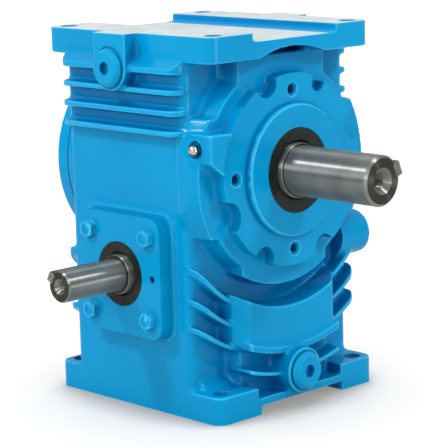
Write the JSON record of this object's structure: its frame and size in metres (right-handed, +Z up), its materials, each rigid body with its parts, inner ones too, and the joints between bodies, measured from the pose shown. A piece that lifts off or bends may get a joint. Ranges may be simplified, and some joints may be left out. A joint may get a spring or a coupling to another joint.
{
  "type": "worm gearbox",
  "caption": "Worm gearbox with foot and top mounting faces, finned casting, keyed input shaft low on one side and larger keyed output shaft at right angles above it.",
  "frame": {"origin": "centre of the foot bolt pattern on the base plane", "axes": "+Z up; -Y out of the output shaft; -X out of the input shaft"},
  "size_m": [0.346, 0.3615, 0.38],
  "materials": {
    "casting_paint": "glossy azure enamel over a sand casting",
    "bolt_paint": "azure enamel over hex bolts",
    "plug_paint": "azure enamel over turned plugs",
    "gasket": "fibre gasket, its edge painted over",
    "seal_rubber": "nitrile rubber",
    "shaft_steel": "ground",
    "key_steel": "drawn",
    "spring_steel": "blackened",
    "bronze": "machined bronze",
    "hub_iron": "turned grey iron",
    "screw_steel": "blackened",
    "turned_steel": "turned",
    "washer_copper": "soft copper",
    "bright_fitting": "bright plated",
    "race_steel": "ground",
    "ball_steel": "polished"
  },
  "bodies": {
    "case": {"housing": "casting_paint", "rear_cover": "casting_paint", "rear_cover_gasket": "gasket", "rear_cover_bolts": "bolt_paint", "rear_end_cap": "casting_paint", "input_cover": "casting_paint", "input_cover_gasket": "gasket", "input_cover_bolts": "bolt_paint", "input_oil_seal": "seal_rubber", "worm_end_cover": "casting_paint", "worm_end_gasket": "gasket", "worm_end_bolts": "bolt_paint", "worm_front_outer_race": "race_steel", "worm_rear_outer_race": "race_steel", "output_front_outer_race": "race_steel", "output_rear_outer_race": "race_steel", "output_oil_seal": "seal_rubber", "filler_plug": "plug_paint", "breather_plug": "plug_paint", "level_plug": "plug_paint", "drain_plug": "plug_paint", "plug_washers": "washer_copper", "ball_fitting": "bright_fitting"},
    "worm": {"worm_shaft": "shaft_steel", "input_key": "key_steel", "worm_circlip": "spring_steel", "worm_front_inner_race": "race_steel", "worm_rear_inner_race": "race_steel"},
    "wheel": {"output_shaft": "shaft_steel", "output_key": "key_steel", "wheel_hub": "hub_iron", "wheel_rim": "bronze", "rim_screws": "screw_steel", "wheel_key": "key_steel", "shaft_spacer": "turned_steel", "shaft_circlip": "spring_steel", "output_front_inner_race": "race_steel", "output_rear_inner_race": "race_steel"},
    "worm_front_ball_set": {"worm_front_balls": "ball_steel"},
    "worm_rear_ball_set": {"worm_rear_balls": "ball_steel"},
    "output_front_ball_set": {"output_front_balls": "ball_steel"},
    "output_rear_ball_set": {"output_rear_balls": "ball_steel"}
  },
  "joints": [
    {"name": "wheel_spin", "type": "hinge", "parent": "case", "child": "wheel", "pos_m": [0, 0, 0.24], "axis": [0, 1, 0], "continuous": true},
    {"name": "worm_spin", "type": "hinge", "parent": "case", "child": "worm", "pos_m": [0, 0, 0.14], "axis": [1, 0, 0], "continuous": true},
    {"name": "output_front_balls_roll", "type": "hinge", "parent": "case", "child": "output_front_ball_set", "pos_m": [0, -0.0975, 0.24], "axis": [0, 1, 0], "continuous": true},
    {"name": "output_rear_balls_roll", "type": "hinge", "parent": "case", "child": "output_rear_ball_set", "pos_m": [0, 0.0965, 0.24], "axis": [0, 1, 0], "continuous": true},
    {"name": "worm_front_balls_roll", "type": "hinge", "parent": "case", "child": "worm_front_ball_set", "pos_m": [-0.103, 0, 0.14], "axis": [1, 0, 0], "continuous": true},
    {"name": "worm_rear_balls_roll", "type": "hinge", "parent": "case", "child": "worm_rear_ball_set", "pos_m": [0.103, 0, 0.14], "axis": [1, 0, 0], "continuous": true}
  ],
  "couplings": [
    {"joint": "worm_spin", "follows": "wheel_spin", "ratio": 20},
    {"joint": "output_front_balls_roll", "follows": "wheel_spin", "ratio": 0.4077},
    {"joint": "output_rear_balls_roll", "follows": "wheel_spin", "ratio": 0.4077},
    {"joint": "worm_front_balls_roll", "follows": "wheel_spin", "ratio": 8.0167},
    {"joint": "worm_rear_balls_roll", "follows": "wheel_spin", "ratio": 8.0167}
  ]
}
